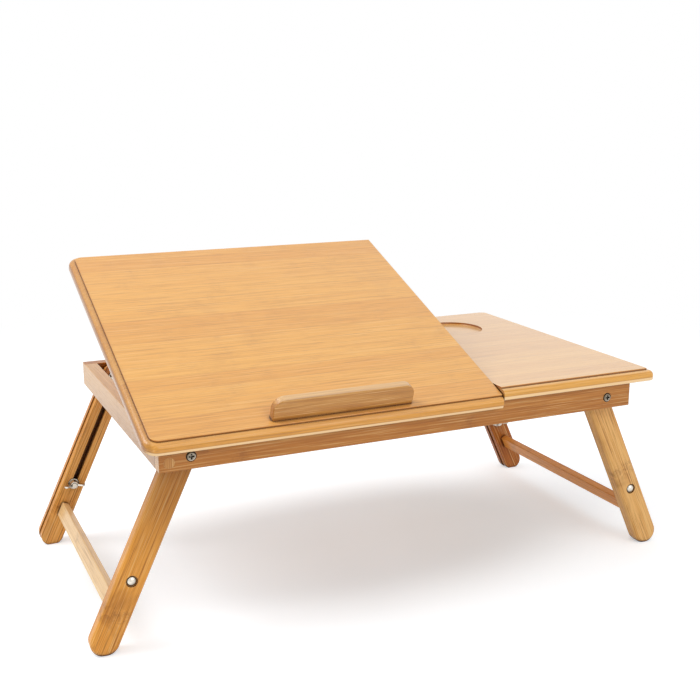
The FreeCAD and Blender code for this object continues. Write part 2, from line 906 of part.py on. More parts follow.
def right_front_post():
    shape = eased_along_y(
        (frame_length - rail_thickness, frame_length),
        (rail_thickness, bay_front),
        (frame_bottom, frame_top),
        rail_round,
    )
    return shape.cut(mirrored_x(leg_stop_room()))


def divider():
    return block((divider_left, divider_right), (bay_front, bay_rear), (frame_bottom, frame_top))


# ---------------------------------------------------------------- drawer
def drawer_runner():
    runner_end = drawer_front_back - drawer_stop_gap
    wall_inner = bay_front + runner_wall
    wall = block((divider_right, runner_end), (bay_front, wall_inner), (frame_bottom, frame_top))
    tongue_middle = frame_top - tongue_drop
    tongue = block(
        (divider_right, runner_end),
        (wall_inner, wall_inner + tongue_reach),
        (tongue_middle - tongue_height / 2, tongue_middle + tongue_height / 2),
    )
    return fuse_all([wall, tongue])


def drawer_side():
    outer = drawer_box_front_y
    shape = block(
        (drawer_box_back, drawer_front_back),
        (outer, outer + drawer_board),
        (drawer_box_bottom, drawer_top),
    )
    top_edges = edges_where(
        shape, lambda b: is_at(b.ZMin, b.ZMax, drawer_top) and b.XLength > SAME_PLACE
    )
    shape = shape.makeFillet(drawer_board_round, top_edges)
    groove_half = tongue_height / 2 + running_gap
    groove_floor = bay_front + runner_wall + tongue_reach + running_gap
    tongue_middle = frame_top - tongue_drop
    groove = block(
        (drawer_box_back, drawer_front_back),
        (outer, groove_floor),
        (tongue_middle - groove_half, tongue_middle + groove_half),
    )
    return shape.cut(groove)


drawer_inner_front = drawer_box_front_y + drawer_board
drawer_inner_rear = frame_depth - drawer_inner_front


def drawer_back():
    shape = block(
        (drawer_box_back, drawer_box_back + drawer_board),
        (drawer_inner_front, drawer_inner_rear),
        (drawer_box_bottom, drawer_top),
    )
    top_edges = edges_where(
        shape, lambda b: is_at(b.ZMin, b.ZMax, drawer_top) and b.YLength > SAME_PLACE
    )
    return shape.makeFillet(drawer_board_round, top_edges)


def drawer_bottom():
    return block(
        (drawer_box_back + drawer_board, drawer_front_back),
        (drawer_inner_front, drawer_inner_rear),
        (drawer_box_bottom, drawer_box_bottom + drawer_bottom_thickness),
    )


knob_place = V(drawer_front_face, frame_depth / 2, (frame_bottom + frame_top) / 2)


def knob_screw():
    start = V(drawer_front_back, knob_place.y, knob_place.z)
    head_start = start - X_AXIS * knob_screw_head
    head = rod(head_start, X_AXIS, knob_screw_head_radius, knob_screw_head)
    length = drawer_front_thickness + knob_screw_reach
    return fuse_all([head, rod(start, X_AXIS, knob_screw_radius, length)])


def drawer_front():
    shape = rounded_block(
        (drawer_front_back, drawer_front_face),
        (bay_front + drawer_front_gap, bay_rear - drawer_front_gap),
        (frame_bottom + drawer_front_gap, frame_top - drawer_front_gap),
        drawer_round,
    )
    start = V(drawer_front_back, knob_place.y, knob_place.z)
    return shape.cut(rod(start, X_AXIS, knob_screw_radius + fit_gap, drawer_front_thickness))


def knob():
    neck = rod(knob_place, X_AXIS, knob_neck_radius, knob_neck_length)
    head_start = knob_place + X_AXIS * knob_neck_length
    head = rod(head_start, X_AXIS, knob_radius, knob_length - knob_neck_length)
    head = head.makeFillet(knob_round, edges_where(head, lambda b: b.XLength < SAME_PLACE))
    shape = fuse_all([neck, head])
    return shape.cut(rod(knob_place, X_AXIS, knob_screw_radius + fit_gap, knob_screw_reach))


# ---------------------------------------------------------------- the whole stand
def build():
    nodes = {
        "front_rail": front_rail(),
        "rear_rail": rear_rail(),
        "left_end_rail": left_end_rail(),
        "right_front_post": right_front_post(),
        "right_rear_post": mirrored_y(right_front_post()),
        "corner_plugs": group([corner_plug(), mirrored_y(corner_plug())]),
        "fixed_panel": fixed_panel(),
        "divider": divider(),
        "drawer_runner_front": drawer_runner(),
        "drawer_runner_rear": mirrored_y(drawer_runner()),
        "pivot_screws": four_corners(pivot_screw()),
        "pivot_spacers": four_corners(pivot_spacer()),
        "pivot_washers": four_corners(pivot_washer()),
        "pivot_nuts": four_corners(pivot_nut()),
        "hinge_fixed_leaves": fixed_leaves(),
        "hinge_pins": hinge_pins(),
        "hinge_rail_screws": group(rail_screws()),
        "stay_stud": stay_stud(),
        "stay_washer": stay_washer(),
        "stay_wing_nut": stay_wing_nut(),
        "tilt_panel": raised(tilt_panel_flat()),
        "laptop_ledge": raised(ledge_flat()),
        "ledge_dowels": raised(group(ledge_dowels_flat())),
        "hinge_moving_leaves": raised(moving_leaves_flat()),
        "hinge_panel_screws": raised(group(panel_screws_flat())),
        "stay_bracket": raised(stay_bracket_flat()),
        "stay_bracket_screws": raised(group(bracket_screws_flat())),
        "stay_pin": raised(stay_pin_flat()),
        "tilt_stay": stay(),
        "drawer_front": drawer_front(),
        "drawer_back": drawer_back(),
        "drawer_side_front": drawer_side(),
        "drawer_side_rear": mirrored_y(drawer_side()),
        "drawer_bottom": drawer_bottom(),
        "drawer_knob": knob(),
        "drawer_knob_screw": knob_screw(),
    }
    for side, to_side in (("left", lambda shape: shape), ("right", mirrored_x)):
        for end, to_end, wing_turn in (
            ("front", lambda shape: shape, front_wing_turn),
            ("rear", mirrored_y, rear_wing_turn),
        ):
            nodes[f"{side}_{end}_upper_leg"] = to_side(to_end(upper_leg()))
            nodes[f"{side}_{end}_lower_leg"] = to_side(to_end(lower_leg()))
            nodes[f"{side}_{end}_wing_nut"] = to_side(to_end(leg_wing_nut(wing_turn)))
        bolts = [carriage_bolt(), mirrored_y(carriage_bolt())]
        washers = [clamp_washer(), mirrored_y(clamp_washer())]
        screws = [on_leg(stretcher_screw()), mirrored_y(on_leg(stretcher_screw()))]
        nodes[f"{side}_carriage_bolts"] = to_side(group(bolts))
        nodes[f"{side}_clamp_washers"] = to_side(group(washers))
        nodes[f"{side}_stretcher"] = to_side(stretcher())
        nodes[f"{side}_stretcher_screws"] = to_side(group(screws))
    return nodes


def main():
    os.makedirs("parts", exist_ok=True)
    nodes = build()
    # The origin is on the floor, below the middle of the stand's plan.
    ledge_box = nodes["laptop_ledge"].optimalBoundingBox()
    panel_box = nodes["tilt_panel"].optimalBoundingBox()
    front_reach = min(ledge_box.YMin, panel_box.YMin)
    to_origin = V(-frame_length / 2, -(front_reach + panel_rear) / 2, 0)
    for name, shape in nodes.items():
        shape.translate(to_origin)
        shape.exportStep(f"parts/{name}.step")
        print(name, len(shape.Solids), shape.isValid(), round(shape.Volume, 1))
    print("moved by", to_origin)


main()
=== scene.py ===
"""Looks of a bamboo laptop stand: lacquered bamboo, nickel-plated bolts and zinc-plated hinges."""
import json
import math

import bpy
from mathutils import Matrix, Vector

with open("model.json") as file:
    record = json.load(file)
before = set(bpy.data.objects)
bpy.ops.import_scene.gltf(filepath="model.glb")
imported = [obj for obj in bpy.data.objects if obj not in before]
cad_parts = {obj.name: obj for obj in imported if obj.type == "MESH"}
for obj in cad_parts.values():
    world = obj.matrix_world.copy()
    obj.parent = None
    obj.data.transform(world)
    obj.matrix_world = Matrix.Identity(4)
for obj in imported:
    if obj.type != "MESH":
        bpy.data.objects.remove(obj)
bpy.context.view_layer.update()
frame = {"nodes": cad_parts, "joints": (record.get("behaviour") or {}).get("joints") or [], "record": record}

MM = 0.001
X_AXIS = Vector((1, 0, 0))
Y_AXIS = Vector((0, 1, 0))
Z_AXIS = Vector((0, 0, 1))


# ---------------------------------------------------------------- directions, from the frame
def joint(name):
    return next(j for j in frame["joints"] if j["name"] == name)


def mount(name):
    return next(m for m in frame["record"]["mounts"] if m["name"] == name)


UP_LEFT_LEG = Vector(joint("left_extend")["axis"])
UP_RIGHT_LEG = Vector(joint("right_extend")["axis"])
TILTED_UP = Vector(mount("laptop_rest")["axis"])
TILTED_BACK = TILTED_UP.cross(X_AXIS)


# ---------------------------------------------------------------- node trees
class Tree:
    """A node tree, with short calls that make and join its nodes."""

    def __init__(self, node_tree):
        self.nodes = node_tree.nodes
        self.links = node_tree.links

    def node(self, kind, **settings):
        made = self.nodes.new(kind)
        for key, value in settings.items():
            setattr(made, key, value)
        return made

    def put(self, value, socket):
        if isinstance(value, bpy.types.NodeSocket):
            self.links.new(value, socket)
        else:
            socket.default_value = value

    def math(self, operation, *values):
        made = self.node("ShaderNodeMath", operation=operation)
        for value, socket in zip(values, made.inputs):
            self.put(value, socket)
        return made.outputs[0]

    def dot(self, first, second):
        made = self.node("ShaderNodeVectorMath", operation="DOT_PRODUCT")
        self.put(first, made.inputs[0])
        self.put(second, made.inputs[1])
        return made.outputs["Value"]

    def length(self, vector):
        made = self.node("ShaderNodeVectorMath", operation="LENGTH")
        self.put(vector, made.inputs[0])
        return made.outputs["Value"]

    def vector(self, x, y, z):
        made = self.node("ShaderNodeCombineXYZ")
        for value, socket in zip((x, y, z), made.inputs):
            self.put(value, socket)
        return made.outputs[0]

    def noise(self, vector, scale=1.0, detail=3.0, roughness=0.5, distortion=0.0):
        made = self.node("ShaderNodeTexNoise")
        self.put(vector, made.inputs["Vector"])
        made.inputs["Scale"].default_value = scale
        made.inputs["Detail"].default_value = detail
        made.inputs["Roughness"].default_value = roughness
        made.inputs["Distortion"].default_value = distortion
        return made.outputs["Fac"]

    def chance(self, x, y, seed):
        """A number from 0 to 1 that depends only on the three inputs."""
        made = self.node("ShaderNodeTexWhiteNoise", noise_dimensions="3D")
        self.put(self.vector(x, y, seed), made.inputs["Vector"])
        return made.outputs["Value"]

    def span(self, value, low, high, to_low=0.0, to_high=1.0):
        """Takes low to to_low and high to to_high, smoothly, and holds beyond them."""
        made = self.node("ShaderNodeMapRange", interpolation_type="SMOOTHSTEP")
        for item, socket in zip((value, low, high, to_low, to_high), made.inputs):
            self.put(item, socket)
        return made.outputs["Result"]

    def mix(self, share, first, second):
        made = self.node("ShaderNodeMix", data_type="RGBA", clamp_factor=True)
        self.put(share, made.inputs["Factor"])
        self.put(first, made.inputs["A"])
        self.put(second, made.inputs["B"])
        return made.outputs["Result"]

    def shade(self, distance):
        """1 in the open and less where something stands within the distance."""
        made = self.node("ShaderNodeAmbientOcclusion", samples=6)
        made.inputs["Distance"].default_value = distance
        return made.outputs["AO"]

    def bump(self, height, distance, strength, normal):
        made = self.node("ShaderNodeBump")
        made.inputs["Distance"].default_value = distance
        made.inputs["Strength"].default_value = strength
        self.put(height, made.inputs["Height"])
        self.put(normal, made.inputs["Normal"])
        return made.outputs["Normal"]

    def rounded(self, radius):
        """The normal as it would be if the edges were rounded."""
        made = self.node("ShaderNodeBevel", samples=4)
        made.inputs["Radius"].default_value = radius
        return made.outputs[0]

    def seen_directly(self):
        """1 for rays from the camera, from gloss and through glass, and 0 for those that light."""
        path = self.node("ShaderNodeLightPath")
        seen = self.math("MAXIMUM", path.outputs["Is Camera Ray"], path.outputs["Is Glossy Ray"])
        return self.math("MAXIMUM", seen, path.outputs["Is Transmission Ray"])


class MaterialTree(Tree):
    """A new material's node tree, with its shader and the place and normal that it shades."""

    def __init__(self, name):
        self.material = bpy.data.materials.new(name)
        self.material.use_nodes = True
        super().__init__(self.material.node_tree)
        self.shader = self.nodes["Principled BSDF"]
        self.position = self.node("ShaderNodeTexCoord").outputs["Object"]
        self.normal = self.node("ShaderNodeTexCoord").outputs["Normal"]


def linear(red, green, blue):
    """A colour given as it looks on screen, from 0 to 255, as the shader takes it."""
    def channel(value):
        share = value / 255
        return share / 12.92 if share <= 0.04045 else ((share + 0.055) / 1.055) ** 2.4

    return (channel(red), channel(green), channel(blue), 1.0)


# ---------------------------------------------------------------- bamboo
TOP_THICKNESS = 13 * MM
EDGE_RADIUS = 0.7 * MM

# Strips lie side by side, in layers.
STRIP_WIDTH = 21 * MM
LEDGE_STRIP = 40 * MM
RAIL_STRIP = 60 * MM         # a rail is one strip
LEG_STRIP = 90 * MM          # and so is a leg
LAYER_DEPTH = 7 * MM
STRIP_SHIFT = 0.37           # of a strip, from one seed to the next
LAYER_SHIFT = 0.61
GLUE_LINE = 0.25 * MM
GLUE_STRENGTH = 0.22

# Streaks: how fast they change along the fibres and across them, and how much detail they have.
BROAD = (5, 220, 4)
FINE = (14, 900, 3)
FIBRES = (55, 1900, 3)
STREAK_SHIFT = 0.7           # how far, in metres, two strips' streaks can be apart

# The share of another tone where streaks or clouds are strongest, on a board with grain 1.
BROAD_DARK = 0.7
BROAD_PALE = 0.6
FINE_DARK = 0.75
FINE_PALE = 0.6
FIBRES_DARK = 0.35
CLOUDS_DARK = 0.3

# Scales of noise, per metre.
CLOUDS = 24
WEAR = 60
BLOTCHES = 170
RAGGED = 420
END_DOTS = 900

# A knuckle: a faint line in a mottled band, each by its half width at full strength and at none.
KNUCKLE_PERIOD = 240 * MM
KNUCKLE_LINE = (0.6 * MM, 3.2 * MM)
KNUCKLE_BAND = (1 * MM, 13 * MM)
KNUCKLE_WANDER = 14 * MM
KNUCKLE_SEED = 3.3           # so that a strip's marks don't depend on its tone
LINE_STRENGTH = 0.4          # beside the band's 1

# A top's edge, in heights above its underside: its painted reflection of the floor, the painted shade over
# its foot and the painted shade on the step round its field.
FLOOR_REFLECTION_EDGE = (3.3 * MM, 4.1 * MM)
SHADED_FOOT = (4.2 * MM, 5.4 * MM)
STEP_START = (TOP_THICKNESS - 2.4 * MM, TOP_THICKNESS - 1.9 * MM)
STEP_END = (TOP_THICKNESS + 0.1 * MM, TOP_THICKNESS + 0.4 * MM)

# Lacquer and relief.
SPECULAR = 0.12
ROUGHNESS = (0.4, 0.55)      # between the fibres and on them
END_ROUGHNESS = 0.15         # what end grain adds to it
COAT_ROUGHNESS = 0.2
BARE_COAT = 0.15             # what little lacquer there is under a top
RELIEF = 0.05 * MM
GLUE_DEPTH = 1.5             # of a glue line at full strength, in fibres' depths

# How far off a board still shades another: painted shade close by, and wider painted shade round it.
CLOSE_SHADE_REACH = 4.5 * MM
SHADE_REACH = 14 * MM

# The share of another tone on edges with wear and painted highlight, on end grain, on edges with a painted
# reflection of the floor, and in painted shade close by, round it and in hollows.
WEAR_AND_HIGHLIGHT_SHARE = 0.5
END_SHARE = 0.65
FLOOR_REFLECTION_SHARE = 0.95
CLOSE_SHADE_SHARE = 0.9
SHADE_SHARE = 0.5
HOLLOW_SHADE_SHARE = 0.85

TOP = (linear(236, 170, 71), linear(224, 152, 51))
TILTED_TOP = (linear(239, 171, 66), linear(227, 153, 48))
RAIL = (linear(199, 131, 56), linear(174, 104, 33))
# darker: painted shade on the rear right leg's inner face
SHADED_RIGHT_REAR_LEG = (linear(189, 109, 38), linear(161, 85, 21))
# paler than the other rails: painted light from the lamp at the left
LIT_END_RAIL = (linear(232, 192, 142), linear(216, 170, 116))
LEDGE = (linear(214, 154, 74), linear(196, 132, 54))
LEFT_LEG = (linear(247, 176, 80), linear(226, 148, 52))
LEFT_REAR_LEG = (linear(244, 175, 86), linear(225, 145, 55))
RIGHT_LEG = (linear(246, 192, 118), linear(228, 164, 84))
# paler than the right stretcher: painted light from the lamp at the left
LIT_LEFT_BAR = (linear(238, 203, 150), linear(224, 181, 122))
RIGHT_BAR = (linear(246, 166, 77), linear(222, 136, 46))
PLUG = (linear(202, 142, 76), linear(184, 122, 54))
INSIDE = (linear(222, 172, 110), linear(206, 150, 86))
END_GRAIN = linear(160, 104, 52)
FIBRE = linear(146, 84, 32)
BRIGHT = linear(248, 206, 138)
KNUCKLE = linear(124, 64, 24)
# the tone of painted shade in crevices and hollows
CREVICE_SHADE_TONE = linear(70, 34, 12)
# painted sheen: a paler tone for the reflection of the bright room in a top's upper face
PAINTED_SHEEN = linear(255, 236, 200)
# painted reflection of the pale floor on a top's lower edge
FLOOR_REFLECTION_TONE = linear(255, 214, 156)
# painted shade over a top's foot and on the step round its field
EDGE_SHADE_TONE = linear(168, 100, 34)
# the tone of painted shade that darkens along a direction
GRADIENT_SHADE_TONE = linear(120, 66, 20)
PALE_END = linear(236, 200, 156)


def streak_colours(tree, colour, tones, strip_tone, place, grain):
    """Streaks from broad to fine, all drawn out along the fibres, and soft clouds over them."""
    length, width, depth = place
    shifted = tree.math("ADD", length, tree.math("MULTIPLY", strip_tone, STREAK_SHIFT))

    def streaks(lengthwise, crosswise, detail):
        drawn_out = tree.vector(
            tree.math("MULTIPLY", shifted, lengthwise),
            tree.math("MULTIPLY", width, crosswise),
            tree.math("MULTIPLY", depth, crosswise),
        )
        return tree.noise(drawn_out, detail=detail, roughness=0.6)

    broad = streaks(*BROAD)
    colour = tree.mix(tree.span(broad, 0.45, 0.72, 0, BROAD_DARK * grain), colour, tones[1])
    colour = tree.mix(tree.span(broad, 0.5, 0.28, 0, BROAD_PALE * grain), colour, tones[0])
    fine = streaks(*FINE)
    colour = tree.mix(tree.span(fine, 0.5, 0.72, 0, FINE_DARK * grain), colour, FIBRE)
    colour = tree.mix(tree.span(fine, 0.48, 0.28, 0, FINE_PALE * grain), colour, BRIGHT)
    fibres = streaks(*FIBRES)
    colour = tree.mix(tree.span(fibres, 0.52, 0.74, 0, FIBRES_DARK), colour, FIBRE)
    clouds = tree.noise(tree.position, scale=CLOUDS, detail=3, roughness=0.55, distortion=0.4)
    cloudy = tree.span(clouds, 0.52, 0.75, 0, CLOUDS_DARK * grain**2)
    return tree.mix(cloudy, colour, FIBRE), fibres


def knuckle_marks(tree, strip, length, seed, knuckle, stagger, strength):
    """The share of knuckle colour: a mottled band across each strip with a faint line in it."""
    ragged = tree.noise(tree.position, scale=RAGGED, detail=4, roughness=0.7)
    blotches = tree.noise(tree.position, scale=BLOTCHES, detail=4, roughness=0.65, distortion=0.8)
    offset = tree.math("MULTIPLY", tree.chance(strip, 0.0, seed + KNUCKLE_SEED), stagger)
    place = tree.math("ADD", tree.math("DIVIDE", length, KNUCKLE_PERIOD), offset)
    shift = 0.0 if knuckle is None else 0.5 - stagger / 2 - knuckle / KNUCKLE_PERIOD
    place = tree.math("ADD", place, shift)
    distance = tree.math("MULTIPLY", from_middle(tree, place), KNUCKLE_PERIOD)
    wander = tree.math("MULTIPLY", tree.math("SUBTRACT", ragged, 0.5), KNUCKLE_WANDER)
    distance = tree.math("SUBTRACT", distance, wander)
    line = tree.span(distance, *KNUCKLE_LINE, LINE_STRENGTH, 0)
    band = tree.span(distance, *KNUCKLE_BAND, 1, 0)
    mottled = tree.math("MULTIPLY", band, tree.span(blotches, 0.4, 0.66, 0.1, 1))
    return tree.math("MULTIPLY", tree.math("MAXIMUM", line, mottled), strength)


def from_middle(tree, place):
    """How far a number is from the middle between the two whole ones beside it."""
    return tree.math("ABSOLUTE", tree.math("SUBTRACT", tree.math("FRACT", place), 0.5))


def worn_and_highlit_arrises(tree, colour, rounded):
    """Paler patches along the edges, partly wear and partly painted highlight, where the bevelled normal
    leaves the flat one.
    """
    flat = tree.node("ShaderNodeNewGeometry").outputs["Normal"]
    # wear and painted highlight along the edges
    edge = tree.span(tree.dot(rounded, flat), 0.995, 0.85, 0, WEAR_AND_HIGHLIGHT_SHARE)
    wear = tree.noise(tree.position, scale=WEAR, detail=3)
    edge = tree.math("MULTIPLY", edge, tree.span(wear, 0.35, 0.65, 0.4, 1))
    return tree.mix(edge, colour, BRIGHT)


def top_edges(tree, colour, upward, height, painted_sheen):
    """A top's painted sheen on its upper face, painted shade over its lower edge and underside, and painted
    shade on the step round its field.
    """
    # painted sheen on faces that look up
    colour = tree.mix(tree.span(upward, 0.7, 0.98, 0, painted_sheen), colour, PAINTED_SHEEN)
    # painted shade over the lower edge and underside
    colour = tree.mix(tree.span(height, *SHADED_FOOT, 0.35, 0), colour, EDGE_SHADE_TONE)
    # painted shade on the step round the field
    step_shade = tree.span(height, *STEP_START, 0, 0.85)
    step_shade = tree.math("MULTIPLY", step_shade, tree.span(upward, 0.75, 0.45))
    step_shade = tree.math("MULTIPLY", step_shade, tree.span(height, *STEP_END, 1, 0))
    return tree.mix(step_shade, colour, EDGE_SHADE_TONE)


def painted_crevice_shade(tree, colour):
    """Painted shade where boards meet and wider painted shade round it, deepest in the narrow hollows."""
    # painted shade: darker where another surface stands close by, and deepest in hollows
    close_shade = tree.span(tree.shade(CLOSE_SHADE_REACH), 0.88, 0.42, 0, CLOSE_SHADE_SHARE)
    colour = tree.mix(close_shade, colour, CREVICE_SHADE_TONE)
    shade = tree.shade(SHADE_REACH)
    colour = tree.mix(tree.span(shade, 0.7, 0.15, 0, SHADE_SHARE), colour, CREVICE_SHADE_TONE)
    return tree.mix(tree.span(shade, 0.42, 0.2, 0, HOLLOW_SHADE_SHARE), colour, CREVICE_SHADE_TONE)


def bamboo(
    name,
    along,
    across,
    tones,
    seed,
    strip_width=STRIP_WIDTH,
    knuckle=None,
    stagger=0.55,
    strength=0.3,
    coat=0.5,
    grain=1.0,
    up=None,
    underside=0.0,
    painted_sheen=0.0,
    end_tone=END_GRAIN,
    shade_gradient=None,
):
    """Lacquered strips of bamboo that run along one direction and lie side by side across it.

    The knuckle is where the strips' dark marks lie, measured along them from the origin, and
    the stagger how far they can be apart, as a share of the marks' period. A top has its up
    direction and the height of its underside along that: a painted sheen on its upper face,
    painted shade over its foot and on the step round its field, and a painted reflection of
    the floor on its lower edge, faint on its ends. Painted shade, darker along a direction, is
    given as that direction, two places along it and the share of darker tone that is reached
    at the second."""
    tree = MaterialTree(name)
    length = tree.dot(tree.position, along)
    width = tree.dot(tree.position, across)
    depth = tree.dot(tree.position, along.cross(across))

    # Strips and glued layers, each with its own tone.
    strip_place = tree.math("ADD", tree.math("DIVIDE", width, strip_width), seed * STRIP_SHIFT)
    layer_place = tree.math("ADD", tree.math("DIVIDE", depth, LAYER_DEPTH), seed * LAYER_SHIFT)
    strip = tree.math("FLOOR", strip_place)
    layer = tree.math("FLOOR", layer_place)
    strip_tone = tree.chance(strip, layer, seed)
    colour = tree.mix(strip_tone, tones[0], tones[1])

    place = (length, width, depth)
    colour, fibres = streak_colours(tree, colour, tones, strip_tone, place, grain)
    marks = knuckle_marks(tree, strip, length, seed, knuckle, stagger, strength)
    colour = tree.mix(marks, colour, KNUCKLE)

    # Glue lines between strips.
    half_line = GLUE_LINE / strip_width
    to_glue = from_middle(tree, strip_place)
    glue = tree.span(to_glue, 0.5 - 2 * half_line, 0.5 - half_line, 0, GLUE_STRENGTH)
    colour = tree.mix(glue, colour, FIBRE)

    # End grain: dark dots on the faces that cut across the fibres.
    facing = tree.math("ABSOLUTE", tree.dot(tree.normal, along))
    end_face = tree.span(facing, 0.75, 0.95)
    dots = tree.noise(tree.position, scale=END_DOTS, detail=2)
    dotted = tree.mix(tree.span(dots, 0.5, 0.68, 0, 0.6), end_tone, KNUCKLE)
    colour = tree.mix(tree.math("MULTIPLY", end_face, END_SHARE), colour, dotted)

    rounded = tree.rounded(EDGE_RADIUS)
    colour = worn_and_highlit_arrises(tree, colour, rounded)
    if up is not None:
        upward = tree.dot(tree.normal, up)
        above = tree.math("SUBTRACT", tree.dot(tree.position, up), underside)
        colour = top_edges(tree, colour, upward, above, painted_sheen)
    if shade_gradient is not None:
        direction, start, end, share = shade_gradient
        # painted shade, darker along the given direction
        towards = tree.dot(tree.position, direction)
        colour = tree.mix(tree.span(towards, start, end, 0, share), colour, GRADIENT_SHADE_TONE)
    colour = painted_crevice_shade(tree, colour)
    if up is not None:
        # painted reflection of the pale floor on the lower edge, faint on its ends
        floor_reflection = tree.span(above, *FLOOR_REFLECTION_EDGE, FLOOR_REFLECTION_SHARE, 0)
        floor_reflection = tree.math("MULTIPLY", floor_reflection, tree.span(upward, -0.99, -0.93))
        floor_reflection = tree.math("MULTIPLY", floor_reflection, tree.span(facing, 0.6, 0.9, 1, 0.2))
        colour = tree.mix(floor_reflection, colour, FLOOR_REFLECTION_TONE)
        coat = tree.span(upward, -0.97, -0.85, BARE_COAT, coat)

    inputs = tree.shader.inputs
    tree.put(colour, inputs["Base Color"])
    roughness = tree.span(fibres, 0.3, 0.75, *ROUGHNESS)
    rough_ends = tree.math("MULTIPLY", end_face, END_ROUGHNESS)
    tree.put(tree.math("ADD", roughness, rough_ends), inputs["Roughness"])
    inputs["Specular IOR Level"].default_value = SPECULAR
    tree.put(coat, inputs["Coat Weight"])
    inputs["Coat Roughness"].default_value = COAT_ROUGHNESS
    relief = tree.math("SUBTRACT", 1.0, tree.span(fibres, 0.5, 0.75))
    relief = tree.math("SUBTRACT", relief, tree.math("MULTIPLY", glue, GLUE_DEPTH))
    tree.put(tree.bump(relief, RELIEF, 0.5, rounded), inputs["Normal"])
    return tree.material


# ---------------------------------------------------------------- metal
# the tone of painted shade on metal where another surface stands close by
METAL_SHADE_TONE = linear(34, 24, 16)
# painted shade on metal turned away from the lit side
TURNED_AWAY_SHADE = linear(104, 92, 74)
LIT_SIDE = Vector((-0.35, -0.75, 0.56)).normalized()
# the lit side of the pivot screws, for their painted shade
SCREW_LIT_SIDE = Vector((0.45, -0.32, -0.83)).normalized()
METAL_EDGE = 0.25 * MM
SCRATCH_DEPTH = 0.01 * MM
METAL_SHADE_REACH = 3 * MM
RUBBED = (0.75, 1.5)         # of the roughness, where it is smoothest and roughest

# Scales of noise, per metre.
DULL_PATCHES = 260
FINE_SCRATCHES = 900
SHEET_SCRATCHES = 1400


def metal(name, colour, dull, roughness, scratch_scale, lit_side=LIT_SIDE, shaded=0.8):
    """Plated steel with faint rubbing and a few duller patches, and painted shade on the side turned away
    from a lit direction.
    """
    tree = MaterialTree(name)
    patches = tree.noise(tree.position, scale=DULL_PATCHES, detail=4, roughness=0.6)
    scratches = tree.noise(
        tree.position, scale=scratch_scale, detail=5, roughness=0.75, distortion=1.5
    )
    plate = tree.mix(tree.span(patches, 0.45, 0.75, 0, 0.6), colour, dull)
    # painted shade: darker the further a face turns from the lit side
    turned_away = tree.span(tree.dot(tree.normal, lit_side), 0.95, 0.1, 0, shaded)
    plate = tree.mix(turned_away, plate, TURNED_AWAY_SHADE)
    # painted shade: near black where another surface stands within a few millimetres
    hollow_shade = tree.span(tree.shade(METAL_SHADE_REACH), 0.85, 0.4, 0, 0.95)
    inputs = tree.shader.inputs
    tree.put(tree.mix(hollow_shade, plate, METAL_SHADE_TONE), inputs["Base Color"])
    rubbed = tree.span(scratches, 0.35, 0.75, roughness * RUBBED[0], roughness * RUBBED[1])
    tree.put(rubbed, inputs["Roughness"])
    inputs["Metallic"].default_value = 1.0
    relief = tree.bump(scratches, SCRATCH_DEPTH, 0.4, tree.rounded(METAL_EDGE))
    tree.put(relief, inputs["Normal"])
    return tree.material


nickel = metal(
    "nickel_plate",
    linear(228, 220, 206),
    linear(176, 164, 146),
    roughness=0.2,
    scratch_scale=FINE_SCRATCHES,
)
zinc = metal(
    "zinc_plate",
    linear(200, 200, 198),
    linear(150, 150, 150),
    roughness=0.34,
    scratch_scale=SHEET_SCRATCHES,
)
screw_steel = metal(
    "screw_plate",
    linear(236, 226, 210),
    linear(150, 138, 120),
    roughness=0.22,
    scratch_scale=FINE_SCRATCHES,
    lit_side=SCREW_LIT_SIDE,
    shaded=0.95,
)

# ---------------------------------------------------------------- which piece is made of what
FIXED_UNDERSIDE = mount("side_top")["pos_m"][2] - TOP_THICKNESS
TILTED_UNDERSIDE = Vector(mount("laptop_rest")["pos_m"]).dot(TILTED_UP) - TOP_THICKNESS
TILTED_LEFT = min(corner[0] for corner in frame["nodes"]["tilt_panel"].bound_box)
BORDER_SHADE_SPAN = (-TILTED_LEFT - 9 * MM, -TILTED_LEFT - 5 * MM)    # painted shade over its left border
DOWN_AND_FRONT = Vector((0, -0.1, -1))  # painted shade grows down the end rail, and slowly along it to the front
END_RAIL_START = 17 * MM + FIXED_UNDERSIDE    # its far upper corner, against that direction
END_RAIL_SHADE_SPAN = (5 * MM - END_RAIL_START, 60 * MM - END_RAIL_START)

